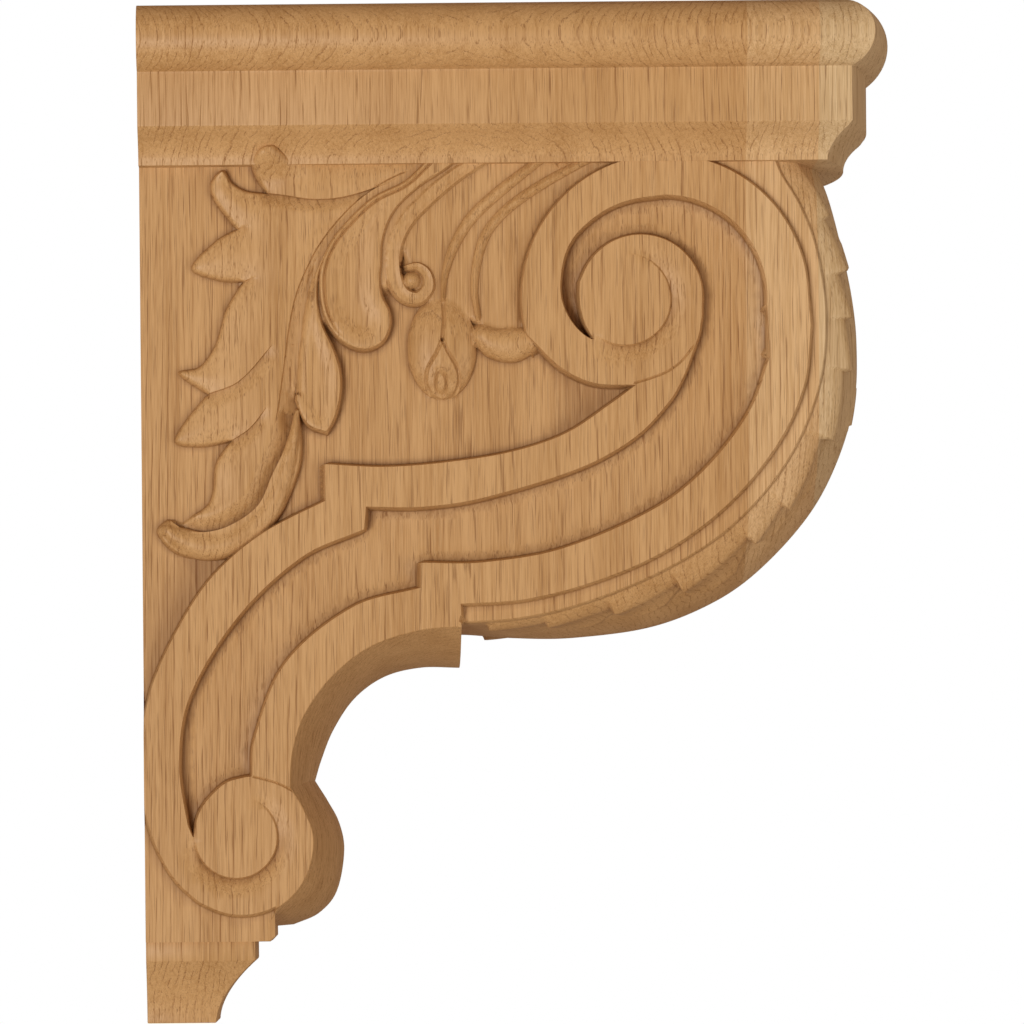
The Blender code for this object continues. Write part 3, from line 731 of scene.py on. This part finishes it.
for row, deeper in zip(rows, rows[1:]):
    quads.append(np.column_stack((np.roll(row, -1), row, deeper, np.roll(deeper, -1))))
quads = np.vstack(quads)
mirrored = np.where(half[:, 1] > -1e-9, np.arange(len(half)), np.arange(len(half)) + len(half))
whole = np.vstack((half, half * (1, -1, 1)))
whole = np.column_stack((whole[:, 0] - WALL_LINE, whole[:, 1], UNDERSIDE - whole[:, 2])) / 1000
polygons = triangles.tolist() + quads.tolist()
polygons += [[int(mirrored[i]) for i in reversed(face)] for face in polygons]
body = bpy.data.meshes.new("carved_body")
body.from_pydata(whole.tolist(), [], polygons)
# The painted shade of each point is kept on the mesh as a point attribute; the front rows get none.
crevice_shade_layer = body.attributes.new("crevice_shade", "FLOAT", "POINT")
crevice_shade_layer.data.foreach_set("value", np.tile(np.concatenate(crevice_shade_by_point), 2))
bm = bmesh.new()
bm.from_mesh(body)
bmesh.ops.delete(bm, geom=[v for v in bm.verts if not v.link_faces], context="VERTS")
bmesh.ops.dissolve_degenerate(bm, dist=1e-7, edges=bm.edges)
bmesh.ops.recalc_face_normals(bm, faces=bm.faces)
bm.to_mesh(body)
bm.free()
bracket = bpy.data.objects.new("carved_oak_bracket", body)
bpy.context.scene.collection.objects.link(bracket)

# The cap. The real moulding is run along the two sides and round the bowed front of the same
# blank: a half-round bead, a flat fascia and a small cove with a fillet, mitred at the corners.
TOP = 178.0
BEAD = 12.2
BEAD_SET_BACK = 4.4
BEAD_INSET = 0.17
COVE_TOP = 43.2
COVE_FOOT = 55.4
COVE_ARRIS = 1.0
COVE_DEPTH = 8.2
CAP_REACH = 249.5
CAP_HALF_WIDTH = 60.0
CAP_BOW = 9.0


def lofted(name, levels):
    """A closed solid through level outlines, each with its height, from the top down."""
    bm = bmesh.new()
    rings = []
    for plan, height in levels:
        rings.append([bm.verts.new((x / 1000, y / 1000, height / 1000)) for x, y in plan])
    for upper, lower in zip(rings, rings[1:]):
        for i in range(len(upper)):
            j = (i + 1) % len(upper)
            bm.faces.new((upper[i], upper[j], lower[j], lower[i]))
    bm.faces.new(rings[0])
    bm.faces.new(list(reversed(rings[-1])))
    bmesh.ops.recalc_face_normals(bm, faces=bm.faces)
    mesh = bpy.data.meshes.new(name)
    bm.to_mesh(mesh)
    bm.free()
    moulding = bpy.data.objects.new(name, mesh)
    bpy.context.scene.collection.objects.link(moulding)
    return moulding


lowest = -math.degrees(math.acos(BEAD_SET_BACK / BEAD))
turn = np.radians(np.linspace(90, lowest, 26))
profile = list(zip(-BEAD_SET_BACK + (BEAD - BEAD_INSET) * np.cos(turn), BEAD - BEAD * np.sin(turn)))
profile += [(0.0, 2 * BEAD + 0.15)]
for angle in np.radians(np.linspace(0, 50, 5)):
    rounding = COVE_ARRIS * (1 - math.cos(angle))
    profile.append((-rounding, COVE_TOP - COVE_ARRIS * (1 - math.sin(angle))))
for share in np.linspace(0.08, 1, 14):
    below = COVE_TOP + (COVE_FOOT - COVE_TOP) * share
    profile.append((-COVE_DEPTH * (1 - (1 - share) ** 2), below))
levels = []
for proud, below in profile:
    half_cap = CAP_HALF_WIDTH + proud
    across = np.linspace(-1, 1, 61)
    front = [(CAP_REACH + proud + CAP_BOW * (1 - t * t), t * half_cap) for t in across]
    levels.append(([(0, -half_cap), *front, (0, half_cap)], TOP - below))
cap = lofted("cap_moulding", levels)

# The foot. The real one is a short fillet over a cove, cut from the end of the blank and
# returned along both sides, with a flat front.
FOOT_HEIGHT = 28.6
FOOT_FILLET = 6.8
FOOT_REACH = 38.4
FOOT_HALF_WIDTH = 46.0
FOOT_COVE_FRONT = 14.1
FOOT_COVE_SIDE = 10.0
profile = [
    (0.0, FOOT_HEIGHT + 1.0),
    (0.0, FOOT_HEIGHT - FOOT_FILLET + 0.3),
    (0.02, FOOT_HEIGHT - FOOT_FILLET),
]
for share in np.linspace(0, 1, 15)[1:]:
    inward = 0.02 + 0.98 * (1 - (1 - share) ** 1.8)
    profile.append((inward, (FOOT_HEIGHT - FOOT_FILLET) * (1 - share)))
levels = []
for inward, above in profile:
    half_foot = FOOT_HALF_WIDTH - FOOT_COVE_SIDE * inward
    reach = FOOT_REACH - FOOT_COVE_FRONT * inward
    plan = [(0, -half_foot), (reach, -half_foot), (reach, half_foot), (0, half_foot)]
    levels.append((plan, above - TOP))
foot = lofted("foot_moulding", levels)

for moulding in (cap, foot):
    bevel = moulding.modifiers.new("eased_arris", "BEVEL")
    bevel.width = 0.0004
    bevel.segments = 2
    bevel.limit_method = "ANGLE"
    bevel.angle_limit = math.radians(35)
    graph = bpy.context.evaluated_depsgraph_get()
    eased = bpy.data.meshes.new_from_object(moulding.evaluated_get(graph))
    moulding.modifiers.clear()
    moulding.data = eased
bm = bmesh.new()
for part in (body, cap.data, foot.data):
    bm.from_mesh(part)
bmesh.ops.triangulate(bm, faces=bm.faces)
bm.to_mesh(body)
bm.free()
for moulding in (cap, foot):
    bpy.data.objects.remove(moulding)
body.shade_smooth()
body.set_sharp_from_angle(angle=math.radians(38))

# The oak. The real blank is glued up from staves of pale tan oak with an upright grain: growth
# rings that curve round each stave's own heart, rows of short dark pores in them, fine
# streaks, and a thin dull finish. The corners of the carving are darkened with painted shade.
STAVES = [
    (0.0, (0.112, -0.005), (1.0, 1.0, 1.0)),
    (0.2127, (0.300, -0.020), (1.15, 1.26, 1.46)),
    (0.2380, (0.420, -0.020), (1.16, 1.42, 1.86)),
]
RING = 0.0023
PALE = (0.640, 0.386, 0.166)
TAN = (0.470, 0.252, 0.088)
DARK = (0.330, 0.142, 0.045)
PORE = (0.175, 0.068, 0.022)
# The colour of the painted shade in the corners and recesses of the carving.
CREVICE_SHADE = (0.170, 0.062, 0.017)


class Socket:
    """An output of a node that takes part in sums; make() adds any other node beside it."""

    def __init__(self, tree, out):
        self.tree, self.out = tree, out

    def make(self, kind, sources, output=0, **settings):
        added = self.tree.nodes.new(kind)
        for name, value in settings.items():
            setattr(added, name, value)
        for place, source in sources.items():
            if isinstance(source, Socket):
                self.tree.links.new(source.out, added.inputs[place])
            else:
                added.inputs[place].default_value = source
        return Socket(self.tree, added.outputs[output])

    def maths(self, operation, *others, **settings):
        sources = dict(enumerate((self, *others)))
        return self.make("ShaderNodeMath", sources, operation=operation, **settings)

    def __add__(self, other):
        return self.maths("ADD", other)

    def __sub__(self, other):
        return self.maths("SUBTRACT", other)

    def __mul__(self, other):
        return self.maths("MULTIPLY", other)

    def __truediv__(self, other):
        return self.maths("DIVIDE", other)

    def __gt__(self, other):
        return self.maths("GREATER_THAN", other)

    def rise(self, low, high):
        """0 below low, 1 above high, and rounded between them."""
        limits = {0: self, 1: low, 2: high}
        return self.make("ShaderNodeMapRange", limits, interpolation_type="SMOOTHSTEP")


oak = bpy.data.materials.new("oak")
oak.use_nodes = True
shader = oak.node_tree.nodes["Principled BSDF"]
coordinates = oak.node_tree.nodes.new("ShaderNodeTexCoord")
place = Socket(oak.node_tree, coordinates.outputs["Object"])
split = oak.node_tree.nodes.new("ShaderNodeSeparateXYZ")
oak.node_tree.links.new(place.out, split.inputs[0])
x, y, z = (Socket(oak.node_tree, out) for out in split.outputs)


def drawn_out(fine, long, detail=2.0, shift=0.0):
    """Noise that is fine across the grain and long along it, both in metres."""
    scale = (1 / fine, 1 / fine, 1 / long)
    spot = place.make("ShaderNodeVectorMath", {0: place, 1: scale}, operation="MULTIPLY")
    spot = place.make("ShaderNodeVectorMath", {0: spot, 1: (shift, shift, shift)}, operation="ADD")
    sources = {"Vector": spot, "Scale": 1.0, "Detail": detail, "Roughness": 0.55}
    return place.make("ShaderNodeTexNoise", sources)


def mixed(share, one, other, way="MIX"):
    """A colour that runs from one to the other with a share, or is blended another way."""
    sources = {0: share, 6: one, 7: other}
    return place.make("ShaderNodeMix", sources, output=2, data_type="RGBA", blend_type=way)


heart = None
tint = None
for start, (across, behind), shade in STAVES:
    from_heart = ((x - across) * (x - across) + (y - behind) * (y - behind)).maths("SQRT")
    shade = (*shade, 1.0)
    if heart is None:
        heart, tint = from_heart, shade
    else:
        past = x > start
        heart = heart + (from_heart - heart) * past
        tint = mixed(past, tint, shade)
wander = (drawn_out(0.018, 0.16, 1.0) - 0.5) * 2.0
wander = wander + (drawn_out(0.0042, 0.045, 1.0, 7.7) - 0.5) * 1.1
rings = heart / RING + wander + z * 4.0
part = rings.maths("FRACT")
patches = drawn_out(0.0032, 0.022, 1.0, 2.9).rise(0.36, 0.58)
early = (part.rise(0.0, 0.07) - part.rise(0.08, 0.30)) * patches
slant = (x - STAVES[0][1][0]).maths("ABSOLUTE").rise(0.01, 0.085) * 0.88 + 0.12
streaks = drawn_out(0.0009, 0.060, 2.0, 3.7)
broad = drawn_out(0.011, 0.110, 1.0, 9.1)
cells = drawn_out(0.00028, 0.015, 1.0, 5.3)
hairs = drawn_out(0.00026, 0.0090, 0.0, 1.9)
pores = (cells + early * 0.16).rise(0.59, 0.74)
fibre = (hairs - 0.5) * 1.05 + (streaks - 0.5) * 1.8 + (broad - 0.5) * 1.1
tone = (early * slant * 0.25 + fibre + 0.38).maths("ADD", 0.0, use_clamp=True)
wood = mixed(tone, (*PALE, 1.0), (*TAN, 1.0))
wood = mixed(early * slant * (streaks * 0.9 + 0.1) * 0.42, wood, (*DARK, 1.0))
wood = mixed(pores * 0.50, wood, (*PORE, 1.0))
wood = mixed(1.0, wood, tint, "MULTIPLY")
# Painted shade: the colour is darkened in the carving's corners and recesses by the shade
# attribute.
crevice_shade_mask = place.make("ShaderNodeAttribute", {}, output=2, attribute_name="crevice_shade")
wood = mixed(crevice_shade_mask * (streaks * 0.4 + 0.36), wood, (*CREVICE_SHADE, 1.0))
oak.node_tree.links.new(wood.out, shader.inputs["Base Color"])
rough = pores * 0.22 + early * 0.08 + 0.47
oak.node_tree.links.new(rough.out, shader.inputs["Roughness"])
height = (pores * -0.8 - early * 0.25) + fibre * 0.2
relief = place.make("ShaderNodeBump", {"Height": height, "Strength": 0.35, "Distance": 0.0002})
oak.node_tree.links.new(relief.out, shader.inputs["Normal"])
shader.inputs["Specular IOR Level"].default_value = 0.35
body.materials.append(oak)
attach(bracket, "root")
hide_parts("carved_bracket")

# The studio: a plain pale floor well below the bracket, which hangs on no wall here, a large
# soft light low at the camera's left, a weak one at its right, and a white surround that adds
# a little warm light.
scene = bpy.context.scene
bpy.ops.mesh.primitive_plane_add(size=6.0, location=(0.0, 0.0, -1.0))
floor = bpy.context.object
floor.name = "floor"
pale = bpy.data.materials.new("pale_floor")
pale.use_nodes = True
pale.node_tree.nodes["Principled BSDF"].inputs["Base Color"].default_value = (0.8, 0.8, 0.8, 1.0)
pale.node_tree.nodes["Principled BSDF"].inputs["Roughness"].default_value = 0.9
floor.data.materials.append(pale)

SURROUND = (0.32, 0.225, 0.155, 1.0)
WHITE = (1.0, 1.0, 1.0, 1.0)
world = bpy.data.worlds.new("studio")
scene.world = world
world.use_nodes = True
white = world.node_tree.nodes["Background"]
path = world.node_tree.nodes.new("ShaderNodeLightPath")
seen = Socket(world.node_tree, path.outputs["Is Camera Ray"])
choice = {0: seen, 6: SURROUND, 7: WHITE}
backdrop = seen.make("ShaderNodeMix", choice, output=2, data_type="RGBA")
world.node_tree.links.new(backdrop.out, white.inputs["Color"])


def soft_light(name, place, target, size, power):
    """A square soft box at a place, turned to a target."""
    lamp = bpy.data.lights.new(name, "AREA")
    lamp.shape = "SQUARE"
    lamp.size = size
    lamp.energy = power
    holder = bpy.data.objects.new(name, lamp)
    holder.location = place
    holder.rotation_euler = (Vector(target) - Vector(place)).to_track_quat("-Z", "Y").to_euler()
    scene.collection.objects.link(holder)


soft_light("key", (-2.1, -4.7, -0.90), (0.12, 0.0, 0.0), 1.7, 158.0)
soft_light("fill", (1.8, -1.6, -0.5), (0.12, 0.0, 0.0), 1.2, 10.5)

# The camera stands square to the side, 2.25 m from it, level with the lower scroll, and its
# frame is shifted up and out to hold the bracket as the photograph does.
REACH_OF_VIEW = 2.25
FOCAL_PIXELS = 6427.0
PICTURE = 1024
SHIFT_OUT = 162
SHIFT_UP = 378
VIEWER_OUT = 0.0718
VIEWER_UP = -0.1316
ROLL = -0.52
camera = bpy.data.cameras.new("camera")
camera.sensor_width = 36.0
camera.lens = FOCAL_PIXELS * camera.sensor_width / PICTURE
camera.shift_x = SHIFT_OUT / PICTURE
camera.shift_y = SHIFT_UP / PICTURE
camera.clip_start = 0.05
viewer = bpy.data.objects.new("camera", camera)
viewer.location = (VIEWER_OUT, -FACE / 1000 - REACH_OF_VIEW, VIEWER_UP)
level_view = Matrix.Rotation(math.radians(90), 3, "X")
viewer.rotation_euler = (level_view @ Matrix.Rotation(math.radians(ROLL), 3, "Z")).to_euler()
scene.collection.objects.link(viewer)
scene.camera = viewer
scene.view_settings.view_transform = "Standard"
